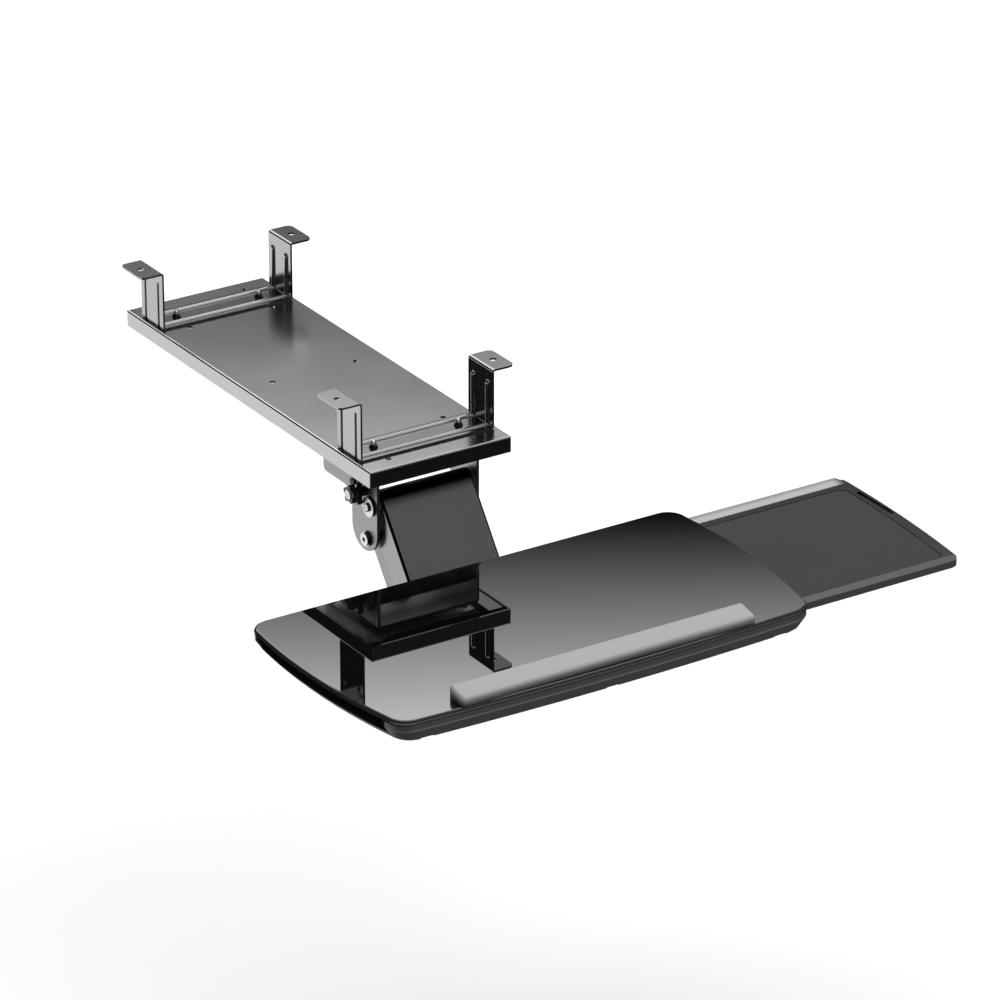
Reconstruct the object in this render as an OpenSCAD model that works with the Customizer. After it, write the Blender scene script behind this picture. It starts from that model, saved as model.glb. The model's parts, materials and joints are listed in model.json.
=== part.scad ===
// Keyboard tray for the underside of a desk: a track plate hung on two riser brackets, a carriage
// that slides and swivels, a parallel lift arm, a tilting tray and a mouse platform that slides
// sideways through the tray. Millimetres. X is to the right, Y to the rear, Z up. The origin is the
// centre of the four desk screws, in the plane of the riser flanges' top faces.

/* [Track plate] */
// Width of the track plate
track_w = 155; // [148:0.5:165]
// Length of the track plate
track_l = 457; // [430:1:520]
// Depth of the folded walls, from the top face of the plate
track_wall_h = 16; // [15:0.5:20]
// Thickness of the plate's sheet
track_t = 2; // [1.5:0.1:3]
// Distance between the two columns of holes
hole_pitch_x = 93; // [86:1:98]
// Distance of the outer rows of holes from the plate's ends
outer_row_inset = 18; // [14:1:20]
// Distance of the second rows of holes from the plate's ends
second_row_inset = 71; // [70:1:80]
// Diameter of the holes in the plate
plate_hole_d = 5.6; // [4.5:0.1:6.5]

/* [Riser brackets] */
// Height from the plate's top face to the desk
riser_h = 60; // [45:1:80]
// Width of the riser strip along the track
riser_strip_w = 42; // [36:1:50]
// Thickness of the riser strip
riser_t = 2; // [1.5:0.1:2.6]
// Distance between the outer faces of the two legs
riser_span = 146; // [139:1:149]
// Reach of each flange beyond its leg
flange_reach = 23; // [18:0.5:30]
// Distance of the risers' centres from the plate's ends
riser_inset = 44.5; // [43:0.5:46]
// Diameter of the desk screw holes
desk_hole_d = 7; // [4.5:0.1:8]
// Distance of the two stiffening ribs from each other
rib_pitch = 25; // [20:0.5:27]
// Diameter of the bolts that join the risers to the plate
riser_bolt_d = 5; // [4:0.1:6]

/* [Carriage and swivel] */
// Length of the carriage along the track
carriage_l = 100; // [90:1:110]
// Travel of the carriage towards the rear
track_travel = 280; // [240:1:290]
// Diameter of the swivel post
swivel_d = 12; // [10:0.5:14]
// Outer width of the swivel bracket over its cheeks
bracket_w = 112.4; // [108:0.2:116]
// Length of the swivel bracket
bracket_l = 96; // [92:1:104]
// Thickness of the bracket's sheet
bracket_t = 3; // [2.5:0.1:3.4]
// Distance of the bracket's front edge behind the front end of the track
bracket_setback = 23.5; // [20:0.5:30]
// Depth of the cheeks' rear strip
strip_depth = 28; // [26:0.5:30]
// Width of the cheeks' front lobe
lobe_w = 44.5; // [42:0.5:48]

/* [Arm] */
// Length of both links between their pivots
arm_len = 122; // [115:1:140]
// Angle of the arm below the horizontal, as stored
arm_angle = 53.5; // [50:0.5:56]
// Depth of the upper pivot below the bracket's top face
pivot_drop = 34; // [33:0.5:36]
// Distance of the upper pivot behind the bracket's front edge
pivot_setback = 12; // [12:0.5:13.5]
// Distance of the lower pivot below the upper one
link_drop = 35; // [34:0.5:37]
// Distance of the lower pivot behind the upper one
link_setback = 5.5; // [4.5:0.5:6.5]
// Outer width of the arm cover
cover_w = 101.6; // [97:0.2:102.4]
// Depth of the arm cover's side flanges
cover_depth = 28.5; // [26:0.5:28.5]
// Distance from the upper pivot to the face of the arm cover
cover_r = 13.5; // [12:0.5:13.5]
// Diameter of the upper pivot shafts
shaft_d = 10; // [8:0.5:10]
// Diameter of the lower pivot shafts
link_shaft_d = 8; // [6:0.5:8]
// Mean diameter of the lift spring
spring_d = 15; // [14.6:0.1:15.4]
// Diameter of the lift spring's wire
spring_wire_d = 3.5; // [3:0.1:3.6]
// Turns of the lift spring
spring_turns = 10; // [6:1:12]

/* [Tray] */
// Width of the tray at its widest
tray_w = 476.6; // [455:0.2:500]
// Depth of the tray on its centre line
tray_d = 251.6; // [248:0.2:258]
// Thickness of the top panel
panel_t = 5; // [4:0.5:7]
// Height of the lower shell
shell_h = 19.5; // [19.5:0.5:24]
// Wall thickness of the lower shell
shell_t = 2.5; // [2:0.1:3]
// Thickness of the lower shell's floor
floor_t = 3; // [2.5:0.1:3.2]
// Distance from the tilt pivot up to the underside of the tray
tilt_drop = 18; // [17:0.5:20]
// Length of the wrist rest
wrist_l = 316; // [280:1:360]
// Depth of the wrist rest
wrist_d = 25; // [22:0.5:32]
// Height of the wrist rest at its rear edge
wrist_h = 13; // [11:0.5:18]

/* [Mouse platform] */
// Length of the mouse platform
platform_l = 465; // [440:1:480]
// Depth of the mouse platform
platform_d = 205; // [190:1:208]
// Thickness of the mouse platform
platform_t = 7; // [6:0.1:7.5]
// How far the platform stands out to the right, as stored
platform_out = 187.5; // [150:0.5:200]
// Height of the raised lip along the platform's rear edge
lip_h = 4.1; // [3:0.1:4.1]
// Length of the slot near each end of the platform
slot_l = 58; // [40:1:80]

/* [Hidden] */
$fn = 48;

// Clearances
running = 0.05; // radial, between a shaft and what turns on it
side_play = 0.1; // axial, beside a part that turns
slide_play = 0.4; // around a part that slides
open_play = 0.6; // radial, in the lower head pivot

// Heights of the track
plate_top = -riser_h;
plate_under = plate_top - track_t;
wall_foot = plate_top - track_wall_h;
track_front = -track_l / 2;
fold_r = 2; // outer radius of the plate's folds
inner_fold_r = 0.4;
corner_r = 2.2; // radius of the plate's corners
riser_y = track_l / 2 - riser_inset;
riser_bend = 2.6; // outer radius of the riser's bends
rib_r = 2.3; // radius of the pressed grooves
rib_wall = 1.8; // wall round a pressed groove
rib_top = -12;
leg_x = riser_span / 2;
desk_hole_x = leg_x + 12;
bolt_head_h = 3;
bolt_head_r = 5.5;
bolt_end_l = 3.8; // of a riser bolt, above its nut
nut_h = 3.2;
nut_r = 4.1;
nut_flange_r = 4.5;
nut_flange_t = 1;

// Rails and carriage
rail_t = 2;
rail_w = 15;
rail_foot = wall_foot + 1;
rail_x = track_w / 2 - track_t - 1.5; // outer face of a rail, clear of the plate's inner fold
rail_end_gap = 8;
tongue_t = 1.8;
head_room = 0.7; // between a riser bolt's head and the glides below it
carriage_top = plate_under - bolt_head_h - head_room - tongue_t;
carriage_t = 3;
carriage_x = rail_x - rail_w - 1.6;
glide_l = 25;
glide_screw_x = carriage_x - 7;
glide_screw_d = 4;
swivel_y = track_front + bracket_setback + 55;
glide_y = carriage_l / 2 - glide_l / 2;
post_head_t = 1.8;
post_head_r = 10;
ring_r = 38;

// Swivel bracket
bracket_top = wall_foot - 3;
bracket_front = track_front + bracket_setback;
bracket_rear = bracket_front + bracket_l;
cheek_x = bracket_w / 2;
cheek_in = cheek_x - bracket_t;
pivot_y = bracket_front + pivot_setback;
pivot_z = bracket_top - pivot_drop;
link_y = pivot_y + link_setback;
link_z = pivot_z - link_drop;
lobe_r = lobe_w / 2;
lobe_y = bracket_front + lobe_r;
lobe_z = link_z + 9;
strip_foot = bracket_top - strip_depth;
strip_corner_r = 5;
lobe_fillet = 14;
washer_t = 2.8;
right_washer_t = 1.2;
washer_r = 9.7;
pivot_end_d = 6; // threaded ends of the upper pivot shaft
pivot_nut_r = 4.7;
pivot_nut_t = 2;
pivot_centre_d = 2; // centre holes in the ends of the upper pivot shaft
pivot_centre_l = 2.5;
button_r = 7.4;
button_base_t = 2;
button_face_r = 6.4;
button_t = 4;
button_socket_l = 2.5;
button_bore_l = button_t - 1;
button_socket_d = 5;
tie_y = bracket_front + 39;
tie_z = bracket_top - 18;
tie_r = 4.5;
tie_bolt_d = 5;
tie_head_r = 3.8;
tie_head_t = 3.5;
knob_y = bracket_front + 26;
knob_z = bracket_top - 23.5;
stud_d = 6;
bar_gap = 3;
bar_t = 4.8;
bar_w = 2.4;
bar_l = 24.4;
boss_r = 5;
knob_hub_l = 1.2;
knob_l = 6;
knob_lobes = 5;
knob_core_r = 7;
knob_lobe_r = 2.9;
cap_r = 4.8;
cap_t = 1;

// Arm and links
cover_x = cover_w / 2;
cover_t = 2;
cover_bend = 2.8; // outer radius of the cover's folds
link_x = cover_x - cover_t - 0.6; // outer face of the lower link
link_t = 3;
link_r = 9;
link_web_t = 2;
link_web_start = 22;
cover_web_end = 14;
bush_r = 7;
spacer_r = link_shaft_d / 2 + 1;
spring_pitch = spring_wire_d + 0.7;
spring_sides = 6;
spring_steps = 12;
spring_leg = 30;
spring_tail = 10;

// Tilt head
head_y = pivot_y - arm_len * cos(arm_angle);
head_z = pivot_z - arm_len * sin(arm_angle);
head_low_y = link_y - arm_len * cos(arm_angle);
head_low_z = link_z - arm_len * sin(arm_angle);
tilt_y = head_y - 26.4;
tilt_z = head_z + 11.1;
head_x = link_x - link_t - 0.8; // outer face of the head bracket
head_t = 3;
head_r = 9.5;
head_web_l = 26;
tilt_d = 8;
ear_x = head_x + 0.7 + head_t; // outer face of the tray mount's ears
ear_r = 9;
ear_rib_l = 40;
ear_rib_h = 6;
tilt_nut_r = 7.4;

// Tray
tray_foot = tilt_z + tilt_drop;
mount_t = 3;
mount_l = 146;
mount_rear = tilt_y + 8;
tray_screw_x = ear_x + 6; // clear of the ears' stiffened edges
tray_screw_side = 7.9; // from a screw to the mount's side edge
mount_w = 2 * (tray_screw_x + tray_screw_side);
tray_screw_rear = 26;
tray_screw_front = 20;
tray_screw_y = [mount_rear - tray_screw_rear, mount_rear - mount_l + tray_screw_front];
tray_screw_d = 5;
panel_foot = tray_foot + shell_h;
tray_top = panel_foot + panel_t;
tray_rear = tilt_y + 23.8;
tray_front = tray_rear - tray_d;
tray_side_r = 676;
tray_front_r = 3750;
tray_widest_y = tray_rear - 91.8;
tray_shape = [tray_w / 2, tray_widest_y, tray_side_r, tray_rear, tray_front, tray_front_r, 17, 19];
shell_inset = 0.5;
ridge_z = panel_foot - 6.2;
bilge_z = tray_foot + 3.5;
// Insets of the shell's outline, each [height, inset at the sides, inset at front and rear]
shell_out = [[tray_foot, 10.5, 8], [bilge_z, 7, 3.8], [ridge_z, shell_inset, shell_inset],
    [panel_foot - 0.7, shell_inset, shell_inset], [panel_foot, 1.3, 1.3]];
shell_floor = tray_foot + floor_t;
notch_w = 14;
notch_h = 2.6;
notch_depth = 5.5; // behind the front edge of the shell's foot
notch_x = [-190, 3, 190];
wrist_front_h = wrist_h - 5;
wrist_r = 2.6;
wrist_front = tray_front + 4.1;

// Mouse platform
platform_top = panel_foot - lip_h - slide_play;
platform_foot = platform_top - platform_t;
platform_rear = tray_rear - 16.5;
platform_front = platform_rear - platform_d;
platform_shape = [platform_l / 2, platform_rear - 25, 1360, platform_rear, platform_front, 60000, 4, 12];
pad_shape = [platform_l / 2 - 12, platform_rear - 25, 1360, platform_rear - 17.5, platform_front + 12,
    60000, 10, 10];
pad_t = 1.2;
pad_recess = 1.4;
end_slot_w = 4.6;
end_slot_x = platform_l / 2 - 5.6;
end_slot_y = platform_rear - 60;
side_slot_play = 2; // around the platform where it leaves the shell
rail_foot_w = 10;
rail_y = [platform_rear - 25, platform_front + 25];
peg_r = 4;
stop_w = 6;
stop_l = 20;
side_slot_reach = 60; // how far the shell's side slots are cut in, from the stowed platform's end
lip_d = 4.5;

// A plane shape with round ends about p and q
module capsule(p, q, r) {
    a = atan2(q[1] - p[1], q[0] - p[0]);
    l = norm(q - p);
    translate(p) circle(r);
    translate(q) circle(r);
    translate(p) rotate(a) translate([0, -r]) square([l, 2 * r]);
}

module round_rect(w, l, r) {
    square([w - 2 * r, l], center = true);
    square([w, l - 2 * r], center = true);
    for (x = [-1, 1], y = [-1, 1]) translate([x * (w / 2 - r), y * (l / 2 - r)]) circle(r);
}

// Extrude a plane shape drawn as [y, z] from x0 to x1
module along_x(x0, x1) {
    translate([x0, 0, 0]) rotate([90, 0, 90]) linear_extrude(x1 - x0) children();
}

// Extrude a plane shape drawn as [x, z] from y0 to y1
module along_y(y0, y1) {
    translate([0, y1, 0]) rotate([90, 0, 0]) linear_extrude(y1 - y0) children();
}

// A rod along X from x0 to x1 at y, z
module rod(x0, x1, y, z, r, sides = $fn) {
    translate([x0, y, z]) rotate([0, 90, 0]) cylinder(h = x1 - x0, r = r, $fn = sides);
}

module both_sides() {
    children();
    mirror([1, 0, 0]) children();
}

module on_arm() {
    translate([0, pivot_y, pivot_z]) rotate([arm_angle, 0, 0]) children();
}

module on_link() {
    translate([0, link_y, link_z]) rotate([arm_angle, 0, 0]) children();
}

// Points on an arc about c from angle a0 to a1
function arc(c, r, a0, a1, n) =
    [for (i = [0:n]) let (a = a0 + (a1 - a0) * i / n) [c[0] + r * cos(a), c[1] + r * sin(a)]];

function angle_of(v) = atan2(v[1], v[0]);

// The meeting point, on the right of the line from c1 to c2, of two circles
function circles_meet(c1, r1, c2, r2) =
    let (d = norm(c2 - c1), e = (c2 - c1) / d, a = (r1 * r1 - r2 * r2 + d * d) / (2 * d),
        h = sqrt(r1 * r1 - a * a))
    c1 + a * e + h * [e[1], -e[0]];

// Right half of a tray-like outline with bowed sides, from the rear to the front centre.
// s = [half width, y of the widest place, side radius, rear y, front y, front radius,
// rear corner radius, front corner radius]
function half_outline(s, side_in, end_in) =
    let (side_c = [s[0] - s[2], s[1]], side_r = s[2] - side_in,
        front_c = [0, s[4] + s[5]], front_r = s[5] - end_in,
        rear_y = s[3] - end_in - s[6],
        rear_c = [side_c[0] + sqrt(pow(side_r - s[6], 2) - pow(rear_y - s[1], 2)), rear_y],
        corner_c = circles_meet(side_c, side_r - s[7], front_c, front_r - s[7]),
        a1 = angle_of(rear_c - side_c), a2 = angle_of(corner_c - side_c),
        a3 = angle_of(corner_c - front_c))
    concat(arc(rear_c, s[6], 90, a1, 6), arc(side_c, side_r, a1 - (a1 - a2) / 10, a2, 9),
        [for (i = [1:6]) let (a = a2 + (a3 - a2) * i / 6) corner_c + s[7] * [cos(a), sin(a)]],
        arc(front_c, front_r, a3 + (-90 - a3) / 4, -90, 3));

function outline(s, side_in = 0, end_in = 0) =
    let (h = half_outline(s, side_in, end_in), n = len(h))
    concat(h, [for (i = [n - 2:-1:0]) [-h[i][0], h[i][1]]]);

// Solid through stacked outlines, each [height, inset at the sides, inset at the ends]
module stacked(s, levels) {
    n = len(outline(s));
    m = len(levels);
    points = [for (l = levels) for (p = outline(s, l[1], l[2])) [p[0], p[1], l[0]]];
    sides = [for (k = [0:m - 2]) for (i = [0:n - 1]) let (j = (i + 1) % n)
        [k * n + i, k * n + j, (k + 1) * n + j, (k + 1) * n + i]];
    foot = [for (i = [n - 1:-1:0]) i];
    head = [for (i = [0:n - 1]) (m - 1) * n + i];
    polyhedron(points = points, faces = concat(sides, [foot], [head]));
}

// Plate with its four walls folded down
module track_plate() {
    color("dimgray") difference() {
        intersection() {
            pan_block(track_w, 0, fold_r);
            translate([0, 0, wall_foot]) linear_extrude(track_wall_h)
                round_rect(track_w, track_l, corner_r);
        }
        pan_block(track_w, track_t, inner_fold_r);
        for (y = row_ys(), x = [-1, 1])
            translate([x * hole_pitch_x / 2, y, plate_under - 1])
                cylinder(h = track_t + 2, d = plate_hole_d);
        at_riser_bolts() translate([0, 0, plate_under - 1])
            cylinder(h = track_t + 2, d = riser_bolt_d + 2 * running);
    }
}

function row_ys() = let (a = track_l / 2 - outer_row_inset, b = track_l / 2 - second_row_inset)
    [-a, -b, 0, b, a];

// Block with its four top edges rounded, drawn in by a wall's thickness on the sides and top
module pan_block(w, wall, r) {
    intersection() {
        along_y(-track_l / 2 + wall, track_l / 2 - wall) pan_section(w / 2 - wall, wall, r);
        along_x(-w / 2 + wall, w / 2 - wall) pan_section(track_l / 2 - wall, wall, r);
    }
}

module pan_section(half, wall, r) {
    foot = wall_foot - (wall > 0 ? 1 : 0);
    top = plate_top - wall;
    translate([-half, foot]) square([2 * half, top - r - foot]);
    translate([-half + r, foot]) square([2 * (half - r), top - foot]);
    for (x = [-1, 1]) translate([x * (half - r), top - r]) circle(r);
}

module at_riser_bolts() {
    for (x = [-1, 1], y = [-1, 1]) translate([x * hole_pitch_x / 2, y * riser_y, 0]) children();
}

// Section of a riser strip: base, two legs and two flanges, as [x, z]
module riser_section() {
    b = riser_bend;
    t = riser_t;
    translate([-leg_x + b, plate_top]) square([2 * (leg_x - b), t]);
    for (s = [-1, 1]) scale_x(s) {
        translate([leg_x - t, plate_top + b]) square([t, riser_h - 2 * b]);
        translate([leg_x - t + b, -t]) square([flange_reach - b + t, t]);
        intersection() {
            bend_ring([leg_x - b, plate_top + b]);
            translate([leg_x - b, plate_top]) square(b);
        }
        intersection() {
            bend_ring([leg_x - t + b, -b]);
            translate([leg_x - t, -b]) square(b);
        }
    }
}

module scale_x(s) {
    mirror([s < 0 ? 1 : 0, 0]) children();
}

module bend_ring(c) {
    translate(c) difference() {
        circle(riser_bend);
        circle(riser_bend - riser_t);
    }
}

// The space inside the strip's outer face, below its flanges
module riser_inside() {
    b = riser_bend;
    translate([-leg_x, plate_top + b]) square([2 * leg_x, riser_h - 2 * b]);
    translate([-leg_x + b, plate_top]) square([2 * (leg_x - b), riser_h - b]);
    for (x = [-1, 1]) translate([x * (leg_x - b), plate_top + b]) circle(b);
}

// Tube along a rib: up one leg, over the base and up the other
module rib_path(r) {
    for (y = [-1, 1]) translate([0, y * rib_pitch / 2, 0]) {
        rod(-leg_x, leg_x, 0, plate_top, r);
        for (x = [-leg_x, leg_x]) translate([x, 0, plate_top]) {
            sphere(r);
            cylinder(h = rib_top - r - plate_top, r = r);
            translate([0, 0, rib_top - r - plate_top]) sphere(r);
        }
    }
}

module riser_bracket() {
    half = riser_strip_w / 2;
    difference() {
        union() {
            intersection() {
                along_y(-half, half) riser_section();
                translate([0, 0, plate_top - 1]) linear_extrude(riser_h + 2)
                    round_rect(2 * (leg_x + flange_reach), riser_strip_w, 6);
            }
            intersection() {
                rib_path(rib_r + rib_wall);
                along_y(-half, half) riser_inside();
            }
        }
        rib_path(rib_r);
        for (x = [-1, 1]) {
            translate([x * desk_hole_x, 0, -riser_t - 1]) cylinder(h = riser_t + 2, d = desk_hole_d);
            translate([x * hole_pitch_x / 2, 0, plate_top - 1])
                cylinder(h = riser_t + 2, d = riser_bolt_d + 2 * running);
        }
    }
}

module riser_bracket_front() {
    color("#2b2c2e") translate([0, -riser_y, 0]) riser_bracket();
}

module riser_bracket_rear() {
    color("#2b2c2e") translate([0, riser_y, 0]) riser_bracket();
}

module riser_bolts() {
    color("silver") at_riser_bolts() {
        translate([0, 0, plate_under - bolt_head_h])
            cylinder(h = bolt_head_h, r1 = bolt_head_r - 1.5, r2 = bolt_head_r);
        translate([0, 0, plate_under])
            cylinder(h = track_t + riser_t + nut_h + bolt_end_l - 0.6, d = riser_bolt_d);
        translate([0, 0, plate_top + riser_t + nut_h + bolt_end_l - 0.6])
            cylinder(h = 0.6, d1 = riser_bolt_d, d2 = riser_bolt_d - 1.2);
    }
}

module riser_nuts() {
    color("#1c1d1f") at_riser_bolts() translate([0, 0, plate_top + riser_t]) difference() {
        union() {
            cylinder(h = nut_flange_t, r = nut_flange_r);
            translate([0, 0, nut_flange_t]) cylinder(h = nut_h - nut_flange_t, r = nut_r, $fn = 6);
        }
        translate([0, 0, -1]) cylinder(h = nut_h + 2, d = riser_bolt_d + 2 * running);
    }
}

// Channel section that opens towards the middle of the track
module rail_section() {
    difference() {
        translate([rail_x - rail_w, rail_foot]) square([rail_w, plate_under - rail_foot]);
        translate([rail_x - rail_w - 1, rail_foot + rail_t])
            square([rail_w - rail_t + 1, plate_under - rail_foot - 2 * rail_t]);
    }
}

module slide_rail() {
    half = track_l / 2 - track_t - rail_end_gap;
    along_y(-half, half) rail_section();
}

module slide_rail_right() {
    color("#8d9094") slide_rail();
}

module slide_rail_left() {
    color("#8d9094") mirror([1, 0, 0]) slide_rail();
}

glide_top = plate_under - rail_t - slide_play;
glide_foot = rail_foot + rail_t + slide_play;
glide_in = rail_x - rail_w - 1;
glide_out = rail_x - rail_t - slide_play;

// Plastic stops in the rails, where the carriage ends its travel
module track_stops() {
    front = swivel_y - carriage_l / 2 - slide_play;
    rear = swivel_y + carriage_l / 2 + track_travel + slide_play;
    color("#26282b") both_sides() for (y = [front - 8, rear])
        translate([rail_x - rail_w + 1, y, rail_foot + rail_t])
            cube([rail_w - rail_t - 1, 8, plate_under - rail_foot - 2 * rail_t]);
}

module carriage_plate() {
    color("#9a9da1") difference() {
        translate([0, swivel_y, carriage_top - carriage_t]) linear_extrude(carriage_t)
            round_rect(2 * carriage_x, carriage_l, 6);
        translate([0, swivel_y, carriage_top - carriage_t - 1])
            cylinder(h = carriage_t + 2, d = swivel_d + 2 * running);
        at_glide_screws() translate([0, 0, carriage_top - carriage_t - 1])
            cylinder(h = carriage_t + 2, d = glide_screw_d + 2 * running);
    }
}

module at_glide_screws() {
    for (x = [-1, 1], y = [-1, 1])
        translate([x * glide_screw_x, swivel_y + y * glide_y, 0]) children();
}

// Glides: a runner inside the rail and a tongue screwed to the top of the carriage
module glide_blocks() {
    color("#dcdcd6") both_sides() for (y = [-1, 1]) translate([0, swivel_y + y * glide_y, 0])
        difference() {
            union() {
                translate([glide_in, -glide_l / 2, glide_foot])
                    cube([glide_out - glide_in, glide_l, glide_top - glide_foot]);
                translate([glide_screw_x - 7, -glide_l / 2, carriage_top])
                    cube([glide_in - glide_screw_x + 7.5, glide_l, tongue_t]);
            }
            translate([glide_screw_x, 0, carriage_top - 1])
                cylinder(h = tongue_t + 2, d = glide_screw_d + 2 * running);
        }
}

module glide_screws() {
    color("silver") at_glide_screws() {
        translate([0, 0, carriage_top - carriage_t - 2]) cylinder(h = 2, d1 = 6, d2 = 7.5);
        translate([0, 0, carriage_top - carriage_t])
            cylinder(h = carriage_t + tongue_t - 0.2, d = glide_screw_d);
    }
}

swivel_nut_t = 6;
swivel_washer_t = 2;

module swivel_post() {
    foot = bracket_top - bracket_t - swivel_washer_t - swivel_nut_t - 2;
    color("silver") translate([0, swivel_y, 0]) {
        translate([0, 0, carriage_top]) cylinder(h = post_head_t, r = post_head_r);
        translate([0, 0, foot]) cylinder(h = carriage_top - foot, d = swivel_d);
    }
}

module bearing_ring() {
    foot = bracket_top + side_play;
    h = carriage_top - carriage_t - foot;
    color("#e4e4de") translate([0, swivel_y, foot]) difference() {
        cylinder(h = h, r = ring_r, $fn = 72);
        translate([0, 0, -1]) cylinder(h = h + 2, d = swivel_d + 2 * running);
        translate([0, 0, 2]) difference() {
            cylinder(h = h - 4, r = ring_r + 1, $fn = 72);
            translate([0, 0, -1]) cylinder(h = h, r = ring_r - 4, $fn = 72);
        }
    }
}

// Outline of a cheek as [y, z]
module cheek_outline() {
    difference() {
        union() {
            translate([bracket_front, strip_foot + strip_corner_r])
                square([bracket_l, bracket_top - strip_foot - strip_corner_r]);
            translate([bracket_front, strip_foot]) square([bracket_l - strip_corner_r, strip_depth]);
            translate([bracket_rear - strip_corner_r, strip_foot + strip_corner_r])
                circle(strip_corner_r);
            translate([bracket_front, lobe_z]) square([lobe_w, bracket_top - lobe_z]);
            translate([lobe_y, lobe_z]) circle(lobe_r);
            translate([bracket_front + lobe_w, strip_foot - lobe_fillet])
                square([lobe_fillet, lobe_fillet]);
        }
        translate([bracket_front + lobe_w + lobe_fillet, strip_foot - lobe_fillet])
            circle(lobe_fillet);
    }
}

// Folded sheet: a top plate and two cheeks, as [x, z]
module bracket_section() {
    r = 4;
    foot = lobe_z - lobe_r - 1;
    difference() {
        union() {
            translate([-cheek_x, foot]) square([2 * cheek_x, bracket_top - r - foot]);
            translate([-cheek_x + r, foot]) square([2 * (cheek_x - r), bracket_top - foot]);
            for (x = [-1, 1]) translate([x * (cheek_x - r), bracket_top - r]) circle(r);
        }
        translate([-cheek_in, foot - 1]) square([2 * cheek_in, bracket_top - bracket_t - foot + 1]);
    }
}

module swivel_bracket() {
    color("#3a3b3d") difference() {
        intersection() {
            along_y(bracket_front, bracket_rear) bracket_section();
            along_x(-cheek_x, cheek_x) cheek_outline();
        }
        translate([0, swivel_y, bracket_top - bracket_t - 1])
            cylinder(h = bracket_t + 2, d = swivel_d + 2 * running);
        rod(-cheek_x - 1, cheek_x + 1, pivot_y, pivot_z, shaft_d / 2 + running);
        rod(-cheek_x - 1, cheek_x + 1, link_y, link_z, link_shaft_d / 2 + running);
        rod(-cheek_x - 1, cheek_x + 1, tie_y, tie_z, tie_bolt_d / 2 + running);
        rod(-cheek_x - 1, 0, knob_y, knob_z, stud_d / 2 + running);
    }
}

module swivel_washer() {
    color("silver") translate([0, swivel_y, bracket_top - bracket_t - swivel_washer_t]) difference() {
        cylinder(h = swivel_washer_t - side_play, r = 14);
        translate([0, 0, -1]) cylinder(h = swivel_washer_t + 2, d = swivel_d + 2 * running);
    }
}

module swivel_nut() {
    top = bracket_top - bracket_t - swivel_washer_t;
    color("silver") translate([0, swivel_y, top - swivel_nut_t]) difference() {
        cylinder(h = swivel_nut_t, r = 10.4, $fn = 6);
        translate([0, 0, -1]) cylinder(h = swivel_nut_t + 2, d = swivel_d + 2 * running);
    }
}

module upper_pivot_shaft() {
    left = -cheek_x - washer_t - pivot_nut_t;
    right = cheek_x + right_washer_t + pivot_nut_t;
    color("silver") difference() {
        union() {
            rod(-cheek_x, cheek_x, pivot_y, pivot_z, shaft_d / 2);
            rod(left, right, pivot_y, pivot_z, pivot_end_d / 2);
        }
        for (x = [left - 1, right - pivot_centre_l])
            rod(x, x + pivot_centre_l + 1, pivot_y, pivot_z, pivot_centre_d / 2);
    }
}

module upper_pivot_washers() {
    color("#d9dadb") difference() {
        union() {
            rod(-cheek_x - washer_t, -cheek_x, pivot_y, pivot_z, washer_r);
            rod(cheek_x, cheek_x + right_washer_t, pivot_y, pivot_z, washer_r);
        }
        rod(-cheek_x - washer_t - 1, cheek_x + washer_t, pivot_y, pivot_z, pivot_end_d / 2 + running);
    }
}

module upper_pivot_nuts() {
    color("#4a4b4d") difference() {
        union() for (x = [-cheek_x - washer_t - pivot_nut_t, cheek_x + right_washer_t])
            rod(x, x + pivot_nut_t, pivot_y, pivot_z, pivot_nut_r, 6);
        rod(-cheek_x - 10, cheek_x + 10, pivot_y, pivot_z, pivot_end_d / 2 + running);
    }
}

// Round head in two steps, on the cheek's outer face at x, towards dir
module button_head(x, dir) {
    for (e = [[button_base_t, button_r], [button_t, button_face_r]])
        rod(min(x, x + dir * e[0]), max(x, x + dir * e[0]), link_y, link_z, e[1]);
}

// Button-headed pin through both cheeks, seen from the left
module lower_pivot_bolt() {
    color("#d9dadb") difference() {
        union() {
            button_head(-cheek_x, -1);
            rod(-cheek_x - 1, cheek_x + button_bore_l, link_y, link_z, link_shaft_d / 2);
        }
        rod(-cheek_x - button_t - 1, -cheek_x - button_t + button_socket_l, link_y, link_z,
            button_socket_d / 2, 6);
    }
}

module lower_pivot_nut() {
    color("#d9dadb") difference() {
        button_head(cheek_x, 1);
        rod(cheek_x - 1, cheek_x + button_bore_l + running, link_y, link_z, link_shaft_d / 2 + running);
    }
}

module tie_rod() {
    color("#55575a") difference() {
        rod(-cheek_in, cheek_in, tie_y, tie_z, tie_r);
        both_sides() rod(cheek_in - 12, cheek_in + 1, tie_y, tie_z, tie_bolt_d / 2 + running);
    }
}

// A round-headed bolt at the left cheek and a headless screw, flush with the right one
module tie_rod_bolts() {
    color("#17181a") {
        rod(-cheek_x - tie_head_t, -cheek_x, tie_y, tie_z, tie_head_r);
        rod(-cheek_x - 1, -cheek_in + 10, tie_y, tie_z, tie_bolt_d / 2);
        rod(cheek_in - 10, cheek_x, tie_y, tie_z, tie_bolt_d / 2);
    }
}

bar_out = cheek_x + bar_gap + bar_t;
knob_out = bar_out + side_play + knob_hub_l + knob_l;

// Narrow upright bar in front of the boss that the knob closes on
module clamp_bar() {
    color("#17181a") difference() {
        union() {
            translate([-bar_out, knob_y - boss_r, knob_z - bar_l + 14]) cube([bar_t, bar_w, bar_l]);
            rod(-bar_out, -cheek_x, knob_y, knob_z, boss_r);
        }
        rod(-bar_out - 1, -cheek_x + 1, knob_y, knob_z, stud_d / 2 + running);
    }
}

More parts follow.
